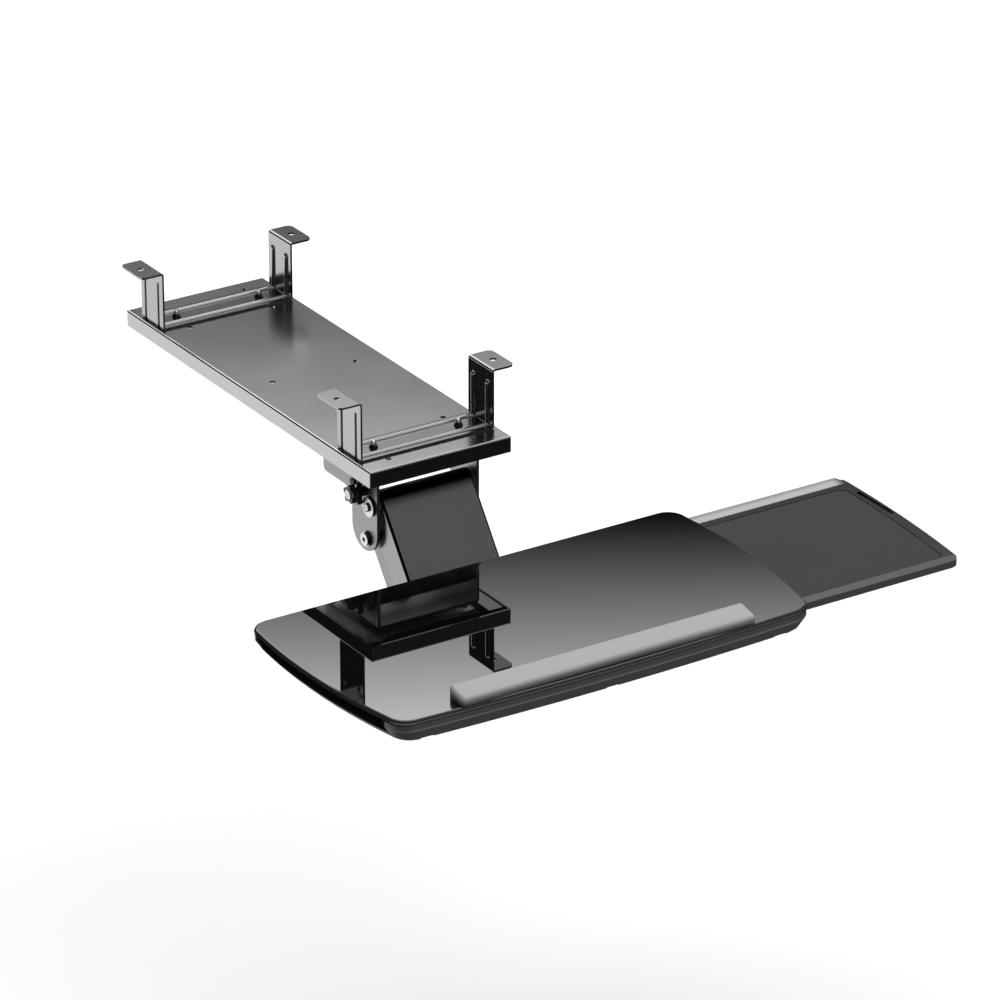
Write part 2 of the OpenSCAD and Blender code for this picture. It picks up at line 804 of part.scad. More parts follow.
module clamp_stud() {
    color("silver") {
        rod(-knob_out + 4, -cheek_in, knob_y, knob_z, stud_d / 2);
        rod(-cheek_in, -cheek_in + 2.4, knob_y, knob_z, 5.4, 6);
    }
}

// Knob with round lobes, on a narrow hub
module clamp_knob() {
    color("#141516") difference() {
        union() {
            rod(-bar_out - side_play - knob_hub_l - 1, -bar_out - side_play, knob_y, knob_z, 5.2);
            rod(-knob_out, -knob_out + knob_l, knob_y, knob_z, knob_core_r);
            for (i = [0:knob_lobes - 1]) let (a = 90 + 360 * i / knob_lobes)
                rod(-knob_out, -knob_out + knob_l, knob_y + (knob_core_r - 0.7) * cos(a),
                    knob_z + (knob_core_r - 0.7) * sin(a), knob_lobe_r);
        }
        rod(-knob_out + 4 - running, -bar_out + 1, knob_y, knob_z, stud_d / 2 + running);
    }
}

module knob_cap() {
    color("#cfd0d1") rod(-knob_out - cap_t, -knob_out, knob_y, knob_z, cap_r);
}

// Side outline of the arm cover in the arm's own frame, drawn in by a wall
module cover_side(wall) {
    r = cover_r - wall;
    foot = cover_r - cover_depth;
    circle(r);
    translate([-arm_len, wall > 0 ? foot - 1 : foot]) square([arm_len, r - foot + (wall > 0 ? 1 : 0)]);
    translate([-arm_len, 0]) circle(wall > 0 ? cover_r + 1 : cover_r);
}

module cover_front(wall) {
    r = wall > 0 ? 0.4 : cover_bend;
    half = cover_x - wall;
    top = cover_r - wall;
    foot = -cover_r - cover_depth;
    translate([-half, foot]) square([2 * half, top - r - foot]);
    translate([-half + r, foot]) square([2 * (half - r), top - foot]);
    for (x = [-1, 1]) translate([x * (half - r), top - r]) circle(r);
}

// Pressed cover, folded over the arm's top face and rounded over its upper end
module arm_cover() {
    color("#3c3d3f") on_arm() difference() {
        intersection() {
            along_y(-arm_len - cover_r, cover_r) cover_front(0);
            along_x(-cover_x, cover_x) cover_side(0);
        }
        intersection() {
            along_y(-arm_len - cover_r - 1, cover_r) cover_front(cover_t);
            along_x(-cover_x, cover_x) {
                cover_side(cover_t);
                translate([0, -cover_r - 1]) square([cover_r + 1, cover_r + 1]);
            }
        }
        translate([-cover_x + cover_t, -arm_len - cover_r - 1, -cover_r])
            cube([2 * (cover_x - cover_t), cover_r + cover_web_end + 1, 2 * cover_r + 1]);
        rod(-cover_x - 1, cover_x + 1, 0, 0, shaft_d / 2 + running);
        rod(-cover_x - 1, cover_x + 1, -arm_len, 0, shaft_d / 2 + running);
    }
}

// Plastic bushes beside the cover's flanges on the upper shaft
module arm_bushes() {
    color("#e4e4de") on_arm() both_sides() difference() {
        union() {
            rod(cover_x, cheek_in - side_play, 0, 0, bush_r);
            rod(cover_x - cover_t - 4, cover_x - cover_t, 0, 0, bush_r);
        }
        rod(cover_x - cover_t - 5, cheek_in + 1, 0, 0, shaft_d / 2 + running);
    }
}

// Centres of the lift spring's wire, each [x, y, z, angle of the outward direction]
function spring_path() =
    let (r = spring_d / 2, turns = spring_turns + 0.5, n = spring_turns * spring_steps + spring_steps / 2,
        half = turns * spring_pitch / 2)
    concat([[-half, -spring_leg, r, 90]],
        [for (i = [0:n]) let (a = 90 - 360 * turns * i / n)
            [-half + 2 * half * i / n, r * cos(a), r * sin(a), a]],
        [[half, -spring_tail, -r, -90]]);

// Torsion spring wound round the upper shaft, one leg under the cover
module lift_spring() {
    path = spring_path();
    n = len(path);
    k = spring_sides;
    w = spring_wire_d / 2;
    points = [for (p = path) for (j = [0:k - 1]) let (b = 360 * j / k)
        [p[0] + w * sin(b), p[1] + w * cos(b) * cos(p[3]), p[2] + w * cos(b) * sin(p[3])]];
    skin = [for (i = [0:n - 2]) for (j = [0:k - 1]) let (m = (j + 1) % k)
        [i * k + j, (i + 1) * k + j, (i + 1) * k + m, i * k + m]];
    echo(least_gap_between_turns = spring_pitch - spring_wire_d);
    color("silver") on_arm() polyhedron(points = points,
        faces = concat(skin, [[for (j = [0:k - 1]) j]], [[for (j = [k - 1:-1:0]) (n - 1) * k + j]]));
}

// Channel behind the cover: two side plates joined by a rear web
module lower_link() {
    in = link_x - link_t;
    color("#303133") on_link() difference() {
        along_x(-link_x, link_x) capsule([0, 0], [-arm_len, 0], link_r);
        translate([-in, -arm_len - link_r - 1, -link_r + link_web_t])
            cube([2 * in, arm_len + 2 * link_r + 2, 2 * link_r]);
        for (y = [-arm_len - link_r - 1, -link_web_start])
            translate([-in, y, -link_r - 1]) cube([2 * in, link_r + link_web_start + 1, 2 * link_r]);
        rod(-link_x - 1, link_x + 1, 0, 0, link_shaft_d / 2 + running);
        rod(-link_x - 1, link_x + 1, -arm_len, 0, link_shaft_d / 2 + open_play);
    }
}

// Sleeves on the lower shaft, between the cheeks and the link
module link_spacers() {
    color("#e4e4de") both_sides() difference() {
        rod(link_x + side_play, cheek_in, link_y, link_z, spacer_r);
        rod(link_x - 1, cheek_in + 1, link_y, link_z, link_shaft_d / 2 + running);
    }
}

// Side outline of the tilt head as [y, z]
module head_outline() {
    up = [head_y, head_z];
    low = [head_low_y, head_low_z];
    tilt = [tilt_y, tilt_z];
    capsule(up, low, head_r);
    capsule(up, tilt, head_r);
    polygon([up, low, tilt]);
}

module head_bracket() {
    lean = atan2(head_low_z - tilt_z, head_low_y - tilt_y);
    mid = [(tilt_y + head_low_y) / 2, (tilt_z + head_low_z) / 2];
    color("#303133") difference() {
        union() {
            both_sides() along_x(head_x - head_t, head_x) head_outline();
            translate([0, mid[0], mid[1]]) rotate([lean, 0, 0])
                translate([-head_x + 1, -head_web_l / 2, 0]) cube([2 * head_x - 2, head_web_l, head_t]);
        }
        rod(-head_x - 1, head_x + 1, head_y, head_z, shaft_d / 2 + running);
        rod(-head_x - 1, head_x + 1, head_low_y, head_low_z, link_shaft_d / 2 + running);
        rod(-head_x - 1, head_x + 1, tilt_y, tilt_z, tilt_d / 2 + running);
    }
}

module head_upper_shaft() {
    color("silver") rod(-cover_x - 2.4, cover_x + 2.4, head_y, head_z, shaft_d / 2);
}

module head_clips() {
    x = cover_x + side_play;
    color("#1c1d1f") both_sides() difference() {
        rod(x, x + 1.2, head_y, head_z, shaft_d / 2 + 3);
        rod(x - 1, x + 2.2, head_y, head_z, shaft_d / 2 + running);
    }
}

module head_lower_shaft() {
    color("silver") rod(-link_x, link_x, head_low_y, head_low_z, link_shaft_d / 2);
}

tilt_washer_t = 1;
tilt_nut_t = 4.5;

module tilt_shaft() {
    end = ear_x + tilt_washer_t + tilt_nut_t + 2;
    color("silver") rod(-end, end, tilt_y, tilt_z, tilt_d / 2);
}

// Friction washers inside and outside the tray mount's ears
module tilt_washers() {
    color("#b9a26a") both_sides() difference() {
        union() {
            rod(head_x, ear_x - head_t - side_play, tilt_y, tilt_z, ear_r - 1);
            rod(ear_x + side_play, ear_x + tilt_washer_t, tilt_y, tilt_z, ear_r - 1);
        }
        rod(head_x - 1, ear_x + tilt_washer_t + 1, tilt_y, tilt_z, tilt_d / 2 + running);
    }
}

module tilt_nuts() {
    x = ear_x + tilt_washer_t;
    color("silver") both_sides() difference() {
        rod(x, x + tilt_nut_t, tilt_y, tilt_z, tilt_nut_r, 6);
        rod(x - 1, x + tilt_nut_t + 1, tilt_y, tilt_z, tilt_d / 2 + running);
    }
}

module at_tray_screws() {
    for (x = [-1, 1], y = tray_screw_y) translate([x * tray_screw_x, y, 0]) children();
}

// Plate under the tray, with two ears on the tilt shaft
module tray_mount() {
    color("#303133") difference() {
        union() {
            translate([0, mount_rear - mount_l / 2, tray_foot - mount_t]) linear_extrude(mount_t)
                round_rect(mount_w, mount_l, 8);
            both_sides() along_x(ear_x - head_t, ear_x) {
                translate([tilt_y, tilt_z]) circle(ear_r);
                translate([tilt_y - ear_r, tilt_z]) square([mount_rear - tilt_y + ear_r,
                    tilt_drop - mount_t + 0.5]);
                translate([tilt_y - ear_rib_l, tray_foot - mount_t - ear_rib_h])
                    square([ear_rib_l + ear_r / 4, ear_rib_h + 0.5]);
            }
        }
        rod(-ear_x - 1, ear_x + 1, tilt_y, tilt_z, tilt_d / 2 + running);
        at_tray_screws() translate([0, 0, tray_foot - mount_t - 1])
            cylinder(h = mount_t + 2, d = tray_screw_d + 2 * running);
    }
}

module tray_screws() {
    color("silver") at_tray_screws() {
        translate([0, 0, tray_foot - mount_t - 2.5]) cylinder(h = 2.5, d1 = 7, d2 = 9.5);
        translate([0, 0, tray_foot - mount_t]) cylinder(h = mount_t + floor_t, d = tray_screw_d);
    }
}

// Lower shell: a shallow hull-shaped box, open at the top and slotted at both sides
module lower_shell() {
    t = shell_t;
    inner = [[shell_floor, 9.5 + t, 5.5 + t], [bilge_z + 1, 7 + t, 3.5 + t],
        [ridge_z, shell_inset + t, shell_inset + t], [panel_foot + 1, shell_inset + t, shell_inset + t]];
    slot_rear = platform_rear + side_slot_play;
    slot_front = platform_front - side_slot_play;
    slot_foot = platform_foot - side_slot_play;
    color("#1b1c1e") difference() {
        stacked(tray_shape, shell_out);
        stacked(tray_shape, inner);
        both_sides() translate([platform_l / 2 - side_slot_reach, slot_front, slot_foot])
            cube([tray_w, slot_rear - slot_front, panel_foot - slot_foot + 1]);
        for (x = notch_x) let (edge = shell_out[0][2] + x * x / (2 * tray_front_r))
            translate([x - notch_w / 2, tray_front - 1, tray_foot - 1])
                cube([notch_w, 1 + edge + notch_depth, notch_h + 1]);
        at_tray_screws() translate([0, 0, tray_foot - 1])
            cylinder(h = floor_t + 2, d = tray_screw_d + 2 * running);
    }
}

module top_panel() {
    color("#101112") stacked(tray_shape, [[panel_foot, 0.8, 0.8], [panel_foot + 0.6, 0, 0],
        [panel_foot + 1.5, 0, 0], [panel_foot + 1.9, 0.5, 0.5], [tray_top - 1.3, 0.7, 0.7],
        [tray_top - 0.4, 1.2, 1.2], [tray_top, 2, 2]]);
}

// Foam bar that slopes down to the front, with rounded edges
module wrist_rest() {
    r = wrist_r;
    half = wrist_l / 2 - r;
    rear = wrist_front + wrist_d;
    color("#b4b5b7") hull() for (x = [-half, half], e = [[wrist_front + r, wrist_front_h],
        [rear - r, wrist_h]]) translate([x, e[0], tray_top]) {
            cylinder(h = 1, r = r, $fn = 24);
            translate([0, 0, e[1] - r]) sphere(r, $fn = 24);
        }
}

// Two runners on the shell's floor that carry the platform
module platform_rails() {
    half = tray_w / 2 - 30;
    h = platform_foot - 0.3 - shell_floor;
    color("#dcdcd6") for (y = rail_y) translate([-half, y - rail_foot_w / 2, shell_floor])
        cube([2 * half, rail_foot_w, h]);
}

// Stops on the shell's floor, met by the platform's peg at either end of its travel
module platform_stops() {
    x = platform_out + peg_r + slide_play;
    color("#dcdcd6") both_sides() translate([x, (rail_y[0] + rail_y[1] - stop_l) / 2, shell_floor])
        cube([stop_w, stop_l, platform_foot - shell_floor - 1]);
}

module slot_end(l, w, h) {
    for (y = [-1, 1]) translate([0, y * (l - w) / 2, 0]) cylinder(h = h, d = w);
    translate([-w / 2, -(l - w) / 2, 0]) cube([w, l - w, h]);
}

// Platform with bowed ends, a raised lip along its rear edge and a slot near each end
module platform_frame() {
    end_r = 12;
    half = platform_l / 2 - 1;
    lip_top = platform_top + lip_h;
    color("#26272a") translate([platform_out, 0, 0]) difference() {
        union() {
            translate([0, 0, platform_foot]) linear_extrude(platform_t) polygon(outline(platform_shape));
            intersection() {
                along_x(-half, half) difference() {
                    translate([platform_rear - lip_d, platform_top - 1]) square([lip_d, lip_h + 1]);
                    translate([platform_rear - lip_d, lip_top]) circle(lip_h - 0.01);
                }
                along_y(platform_rear - lip_d - 1, platform_rear) {
                    translate([-half, platform_top - 2]) square([2 * half, 2]);
                    translate([-half + end_r, platform_top - 2]) square([2 * (half - end_r), lip_h + 2]);
                    for (x = [-1, 1]) translate([x * (half - end_r), lip_top - end_r]) circle(end_r);
                }
            }
        }
        translate([0, 0, platform_top - pad_recess]) linear_extrude(pad_recess + lip_h)
            polygon(outline(pad_shape));
        for (x = [-1, 1]) translate([x * end_slot_x, end_slot_y, platform_foot - 1])
            slot_end(slot_l, end_slot_w, platform_t + 2);
        translate([0, (rail_y[0] + rail_y[1]) / 2, platform_foot - 1])
            cylinder(h = 4, r = 2 + running);
    }
}

module mouse_pad() {
    color("#4a4b4e") translate([platform_out, 0, platform_top - pad_recess])
        linear_extrude(pad_t) polygon(outline(pad_shape, 0.3, 0.3));
}

module stop_peg() {
    color("silver") translate([platform_out, (rail_y[0] + rail_y[1]) / 2, 0]) {
        translate([0, 0, shell_floor + 0.6])
            cylinder(h = platform_foot - shell_floor - 0.6, r = peg_r);
        translate([0, 0, platform_foot - 0.5]) cylinder(h = 3, r = 2);
    }
}

track_plate();
riser_bracket_front();
riser_bracket_rear();
riser_bolts();
riser_nuts();
slide_rail_left();
slide_rail_right();
track_stops();
carriage_plate();
glide_blocks();
glide_screws();
swivel_post();
bearing_ring();
swivel_bracket();
swivel_washer();
swivel_nut();
upper_pivot_shaft();
upper_pivot_washers();
upper_pivot_nuts();
lower_pivot_bolt();
lower_pivot_nut();
tie_rod();
tie_rod_bolts();
clamp_bar();
clamp_stud();
clamp_knob();
knob_cap();
arm_cover();
arm_bushes();
lift_spring();
lower_link();
link_spacers();
head_bracket();
head_upper_shaft();
head_clips();
head_lower_shaft();
tilt_shaft();
tilt_washers();
tilt_nuts();
tray_mount();
tray_screws();
lower_shell();
top_panel();
wrist_rest();
platform_rails();
platform_stops();
platform_frame();
mouse_pad();
stop_peg();
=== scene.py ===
import json
import math
import bpy
import bmesh
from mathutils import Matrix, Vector


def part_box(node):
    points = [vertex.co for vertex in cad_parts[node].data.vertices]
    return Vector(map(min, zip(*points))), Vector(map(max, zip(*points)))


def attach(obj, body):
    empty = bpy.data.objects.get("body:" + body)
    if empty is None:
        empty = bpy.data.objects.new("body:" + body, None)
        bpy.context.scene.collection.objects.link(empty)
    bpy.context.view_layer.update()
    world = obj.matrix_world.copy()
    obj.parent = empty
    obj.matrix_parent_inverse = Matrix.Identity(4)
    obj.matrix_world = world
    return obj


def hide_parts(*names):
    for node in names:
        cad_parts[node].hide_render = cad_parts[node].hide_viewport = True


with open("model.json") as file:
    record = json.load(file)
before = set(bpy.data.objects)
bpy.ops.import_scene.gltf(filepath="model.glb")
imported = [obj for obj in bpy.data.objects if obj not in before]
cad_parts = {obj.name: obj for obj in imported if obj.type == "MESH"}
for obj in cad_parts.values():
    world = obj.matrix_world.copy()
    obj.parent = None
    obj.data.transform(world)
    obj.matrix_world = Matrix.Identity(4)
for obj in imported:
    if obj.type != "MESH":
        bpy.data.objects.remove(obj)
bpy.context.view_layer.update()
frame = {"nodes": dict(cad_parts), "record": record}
nodes = frame["nodes"]
scene = bpy.context.scene
print("frame loaded:", len(nodes), "nodes")

# the camera, fitted to the photograph's straight edges
cameraSetup = {"place": (-2.65886, -4.48869, 2.21092), "look": (0.489033, 0.765030, -0.419017),
               "lens": 214.218, "sensor": 36.0, "reach": 60.0}
cameraData = bpy.data.cameras.new("studioCamera")
cameraData.lens = cameraSetup["lens"]
cameraData.sensor_width = cameraSetup["sensor"]
cameraData.clip_end = cameraSetup["reach"]
camera = bpy.data.objects.new("studioCamera", cameraData)
scene.collection.objects.link(camera)
camera.location = cameraSetup["place"]
camera.rotation_mode = "QUATERNION"
camera.rotation_quaternion = Vector(cameraSetup["look"]).to_track_quat("-Z", "Y")
scene.camera = camera
scene.view_settings.view_transform = "Standard"


# small helpers for node trees
def place(tree, kind, **values):
    node = tree.nodes.new(kind)
    for key, value in values.items():
        setattr(node, key, value)
    return node


def feed(tree, source, target):
    tree.links.new(source, target)


def mathStep(tree, operation, a, b=0.0):
    node = place(tree, "ShaderNodeMath", operation=operation)
    for socket, value in ((node.inputs[0], a), (node.inputs[1], b)):
        if isinstance(value, (int, float)):
            socket.default_value = value
        else:
            feed(tree, value, socket)
    return node.outputs[0]


# a base value plus a share of another
def varied(tree, base, by, share):
    return mathStep(tree, "ADD", base, mathStep(tree, "MULTIPLY", by, share))


def scaledColor(tree, color, factor):
    node = place(tree, "ShaderNodeVectorMath", operation="SCALE")
    feed(tree, color, node.inputs[0])
    feed(tree, factor, node.inputs["Scale"])
    return node.outputs[0]


def noiseOn(tree, where, scale, detail):
    node = place(tree, "ShaderNodeTexNoise")
    feed(tree, where, node.inputs["Vector"])
    if isinstance(scale, float):
        node.inputs["Scale"].default_value = scale
    else:
        feed(tree, scale, node.inputs["Scale"])
    node.inputs["Detail"].default_value = detail
    return node.outputs["Fac"]


# carries a value from one span to another
def ramp(tree, value, span, onto=(0.0, 1.0), curve="SMOOTHSTEP"):
    node = place(tree, "ShaderNodeMapRange", interpolation_type=curve)
    node.inputs["From Min"].default_value, node.inputs["From Max"].default_value = span
    node.inputs["To Min"].default_value, node.inputs["To Max"].default_value = onto
    feed(tree, value, node.inputs["Value"])
    return node.outputs[0]


# the X, Y and Z of one of the texture coordinates
def axesOf(tree, kind):
    where = place(tree, "ShaderNodeTexCoord")
    parts = place(tree, "ShaderNodeSeparateXYZ")
    feed(tree, where.outputs[kind], parts.inputs[0])
    return parts.outputs


def mixedShader(tree, factor, first, second):
    node = place(tree, "ShaderNodeMixShader")
    feed(tree, factor, node.inputs[0])
    feed(tree, first.outputs[0], node.inputs[1])
    feed(tree, second.outputs[0], node.inputs[2])
    return node


def newGroup(name, inputs, outputs, kind="ShaderNodeTree"):
    group = bpy.data.node_groups.new(name, kind)
    for label, socketKind, value in inputs:
        socket = group.interface.new_socket(name=label, in_out="INPUT", socket_type=socketKind)
        if value is not None:
            socket.default_value = value
    for label, socketKind in outputs:
        group.interface.new_socket(name=label, in_out="OUTPUT", socket_type=socketKind)
    return group, place(group, "NodeGroupInput").outputs, place(group, "NodeGroupOutput").inputs


# the fine peel of sprayed enamel and moulded plastic, with a broad and faint change of tone
def buildPaintPeel(look):
    group, given, put = newGroup(
        "paintPeel",
        [("Vector", "NodeSocketVector", None), ("Scale", "NodeSocketFloat", 900.0),
         ("Roughness", "NodeSocketFloat", 0.3), ("Spread", "NodeSocketFloat", 0.06),
         ("Color", "NodeSocketColor", (0.1, 0.1, 0.1, 1)), ("Mottle", "NodeSocketFloat", 0.08)],
        [("Color", "NodeSocketColor"), ("Roughness", "NodeSocketFloat"), ("Height", "NodeSocketFloat")])
    fine = noiseOn(group, given["Vector"], given["Scale"], look["fineDetail"])
    broad = noiseOn(group, given["Vector"], look["broadScale"], look["broadDetail"])
    away = mathStep(group, "SUBTRACT", broad, 0.5)
    feed(group, varied(group, given["Roughness"], away, given["Spread"]), put["Roughness"])
    feed(group, scaledColor(group, given["Color"], varied(group, 1.0, away, given["Mottle"])), put["Color"])
    feed(group, fine, put["Height"])
    return group


# the faint lines of drawn and turned metal
def buildDrawnMetal(look):
    group, given, put = newGroup(
        "drawnMetal",
        [("Vector", "NodeSocketVector", None), ("Scale", "NodeSocketFloat", 600.0),
         ("Roughness", "NodeSocketFloat", 0.3), ("Color", "NodeSocketColor", (0.7, 0.7, 0.7, 1)),
         ("Depth", "NodeSocketFloat", 0.15)],
        [("Color", "NodeSocketColor"), ("Roughness", "NodeSocketFloat"), ("Height", "NodeSocketFloat")])
    stretch = place(group, "ShaderNodeMapping")
    stretch.inputs["Scale"].default_value = look["stretch"]
    feed(group, given["Vector"], stretch.inputs["Vector"])
    lines = noiseOn(group, stretch.outputs[0], given["Scale"], look["detail"])
    away = mathStep(group, "SUBTRACT", lines, 0.5)
    feed(group, varied(group, given["Roughness"], away, given["Depth"]), put["Roughness"])
    feed(group, scaledColor(group, given["Color"], varied(group, 1.0, away, given["Depth"])), put["Color"])
    feed(group, lines, put["Height"])
    return group


# the pad's close weave, with fuzz between its threads
def buildFineWeave(look):
    group, given, put = newGroup(
        "fineWeave",
        [("Vector", "NodeSocketVector", None), ("Threads", "NodeSocketFloat", 1300.0),
         ("Color", "NodeSocketColor", (0.1, 0.1, 0.1, 1)), ("Contrast", "NodeSocketFloat", 0.25)],
        [("Color", "NodeSocketColor"), ("Height", "NodeSocketFloat")])
    parts = place(group, "ShaderNodeSeparateXYZ")
    feed(group, given["Vector"], parts.inputs[0])
    turn = mathStep(group, "MULTIPLY", given["Threads"], look["fullTurn"])
    warp = mathStep(group, "SINE", mathStep(group, "MULTIPLY", parts.outputs["X"], turn))
    weft = mathStep(group, "SINE", mathStep(group, "MULTIPLY", parts.outputs["Y"], turn))
    knit = mathStep(group, "MULTIPLY", warp, weft)
    fuzz = noiseOn(group, given["Vector"], look["fuzzScale"], look["fuzzDetail"])
    height = varied(group, fuzz, knit, look["knit"])
    away = mathStep(group, "SUBTRACT", height, 0.5)
    feed(group, scaledColor(group, given["Color"], varied(group, 1.0, away, given["Contrast"])), put["Color"])
    feed(group, height, put["Height"])
    return group


paintPeel = buildPaintPeel({"fineDetail": 3.0, "broadScale": 9.0, "broadDetail": 2.0})
drawnMetal = buildDrawnMetal({"stretch": (1.0, 0.04, 1.0), "detail": 4.0})
fineWeave = buildFineWeave({"fullTurn": 6.2832, "fuzzScale": 1600.0, "fuzzDetail": 2.0, "knit": 0.5})


def opened(material):
    tree = material.node_tree
    return material, tree, tree.nodes["Principled BSDF"]


def newMaterial(name):
    material = bpy.data.materials.new(name)
    material.use_nodes = True
    return opened(material)


# places a shader group on Object coordinates and sets its named inputs
def patternOn(tree, group, **values):
    pattern = place(tree, "ShaderNodeGroup", node_tree=group)
    feed(tree, place(tree, "ShaderNodeTexCoord").outputs["Object"], pattern.inputs["Vector"])
    for label, value in values.items():
        pattern.inputs[label].default_value = value
    return pattern.outputs


def bumpFrom(tree, shader, height, strength, distance):
    bump = place(tree, "ShaderNodeBump")
    bump.inputs["Strength"].default_value = strength
    bump.inputs["Distance"].default_value = distance
    feed(tree, height, bump.inputs["Height"])
    feed(tree, bump.outputs[0], shader.inputs["Normal"])


# lays a second colour over a shader's base colour where the mask is 1
def overlay(tree, shader, mask, color):
    mixed = place(tree, "ShaderNodeMix", data_type="RGBA")
    feed(tree, mask, mixed.inputs["Factor"])
    feed(tree, shader.inputs["Base Color"].links[0].from_socket, mixed.inputs["A"])
    mixed.inputs["B"].default_value = (*color, 1)
    feed(tree, mixed.outputs["Result"], shader.inputs["Base Color"])


paintUsual = {"metallic": 0.0, "ior": 1.5, "specular": 0.5, "coatRoughness": 0.1, "spread": 0.06,
              "mottle": 0.08, "bump": 0.12, "peelScale": 900.0, "peelDepth": 0.00004}


def paintFinish(name, look):
    look = {**paintUsual, **look}
    material, tree, shader = newMaterial(name)
    peel = patternOn(tree, paintPeel, Scale=look["peelScale"], Roughness=look["roughness"],
                     Spread=look["spread"], Mottle=look["mottle"], Color=(*look["color"], 1))
    feed(tree, peel["Color"], shader.inputs["Base Color"])
    feed(tree, peel["Roughness"], shader.inputs["Roughness"])
    shader.inputs["Metallic"].default_value = look["metallic"]
    shader.inputs["IOR"].default_value = look["ior"]
    shader.inputs["Specular IOR Level"].default_value = look["specular"]
    shader.inputs["Coat Roughness"].default_value = look["coatRoughness"]
    bumpFrom(tree, shader, peel["Height"], look["bump"], look["peelDepth"])
    return material


metalUsual = {"scale": 600.0, "depth": 0.15, "bump": 0.08, "lineDepth": 0.00003}


def metalFinish(name, look):
    look = {**metalUsual, **look}
    material, tree, shader = newMaterial(name)
    drawn = patternOn(tree, drawnMetal, Scale=look["scale"], Roughness=look["roughness"],
                      Depth=look["depth"], Color=(*look["color"], 1))
    feed(tree, drawn["Color"], shader.inputs["Base Color"])
    feed(tree, drawn["Roughness"], shader.inputs["Roughness"])
    shader.inputs["Metallic"].default_value = 1.0
    bumpFrom(tree, shader, drawn["Height"], look["bump"], look["lineDepth"])
    return material


def clothFinish(name, look):
    material, tree, shader = newMaterial(name)
    weave = patternOn(tree, fineWeave, Threads=look["threads"], Contrast=look["contrast"],
                      Color=(*look["color"], 1))
    feed(tree, weave["Color"], shader.inputs["Base Color"])
    shader.inputs["Roughness"].default_value = look["roughness"]
    shader.inputs["Specular IOR Level"].default_value = look["specular"]
    bumpFrom(tree, shader, weave["Height"], look["bump"], look["weaveDepth"])
    return material


# the clear gloss of the panel lies on its top and fades over its rounded edge, which is satin and carries a
# painted sheen: its side faces are painted lighter than the top
def glossFinish(name, look):
    material, tree, shader = opened(paintFinish(name, look))
    shader.inputs["Coat IOR"].default_value = look["coatIor"]
    top = ramp(tree, axesOf(tree, "Normal")["Z"], look["fade"])
    feed(tree, top, shader.inputs["Coat Weight"])
    # painted sheen: the side faces are painted lighter than the top
    overlay(tree, shader, mathStep(tree, "SUBTRACT", 1.0, top), look["edgeSheenColor"])
    return material


# the platform's plastic, with a painted sheen that makes it lighter along its front, and a pale painted
# highlight on the lip along its rear
def lippedFinish(name, look):
    material, tree, shader = opened(paintFinish(name, look))
    axes = axesOf(tree, "Object")
    # painted sheen along the front border
    overlay(tree, shader, ramp(tree, axes["Y"], look["frontSheenSpan"]), look["frontSheenColor"])
    # painted highlight on the top of the rear lip, fading towards its right end
    rise = ramp(tree, axes["Z"], look["lipRise"])
    lip = mathStep(tree, "MULTIPLY", rise, ramp(tree, axes["X"], look["lipFade"]))
    lip = mathStep(tree, "MULTIPLY", lip, ramp(tree, axes["Y"], look["lipSpan"]))
    overlay(tree, shader, lip, look["lipHighlightColor"])
    return material


# the shell's plastic, with a painted highlight along its crease
def creasedFinish(name, look):
    material, tree, shader = opened(paintFinish(name, look))
    off = mathStep(tree, "ABSOLUTE", mathStep(tree, "SUBTRACT", axesOf(tree, "Object")["Z"], look["crease"]))
    # painted highlight: a bright band at the crease's height
    overlay(tree, shader, ramp(tree, off, look["creaseHighlightSpan"]), look["creaseHighlightColor"])
    return material


# the wrist rest's foam, with painted shade that darkens it towards its foot
def footedFinish(name, look):
    material, tree, shader = opened(paintFinish(name, look))
    overlay(tree, shader, ramp(tree, axesOf(tree, "Object")["Z"], look["footShadeSpan"]), look["footShadeColor"])
    return material


# the arm cover's enamel, with painted shade that darkens it where the sheet is folded to its flanges and bent
# over its upper end
def foldedFinish(name, look):
    material, tree, shader = opened(paintFinish(name, look))
    normal = axesOf(tree, "Normal")
    sideways = mathStep(tree, "ABSOLUTE", normal["X"])
    fold = ramp(tree, sideways, look["foldFrom"])
    fold = mathStep(tree, "MULTIPLY", fold, ramp(tree, sideways, look["foldTo"]))
    high = ramp(tree, axesOf(tree, "Object")["Z"], look["bendSpan"])
    bend = mathStep(tree, "MULTIPLY", high, ramp(tree, normal["Z"], look["outerSpan"]))
    # painted shade on the folds and the upper bend
    overlay(tree, shader, mathStep(tree, "MAXIMUM", fold, bend), look["foldShadeColor"])
    return material


# turned hardware: bright where a face is square to its pin, with painted shade that darkens it round its side
def turnedFinish(name, look):
    material, tree, shader = opened(metalFinish(name, look))
    square = mathStep(tree, "ABSOLUTE", axesOf(tree, "Normal")["X"])
    # painted shade round the side
    overlay(tree, shader, ramp(tree, square, look["sideShadeSpan"]), look["sideShadeColor"])
    return material


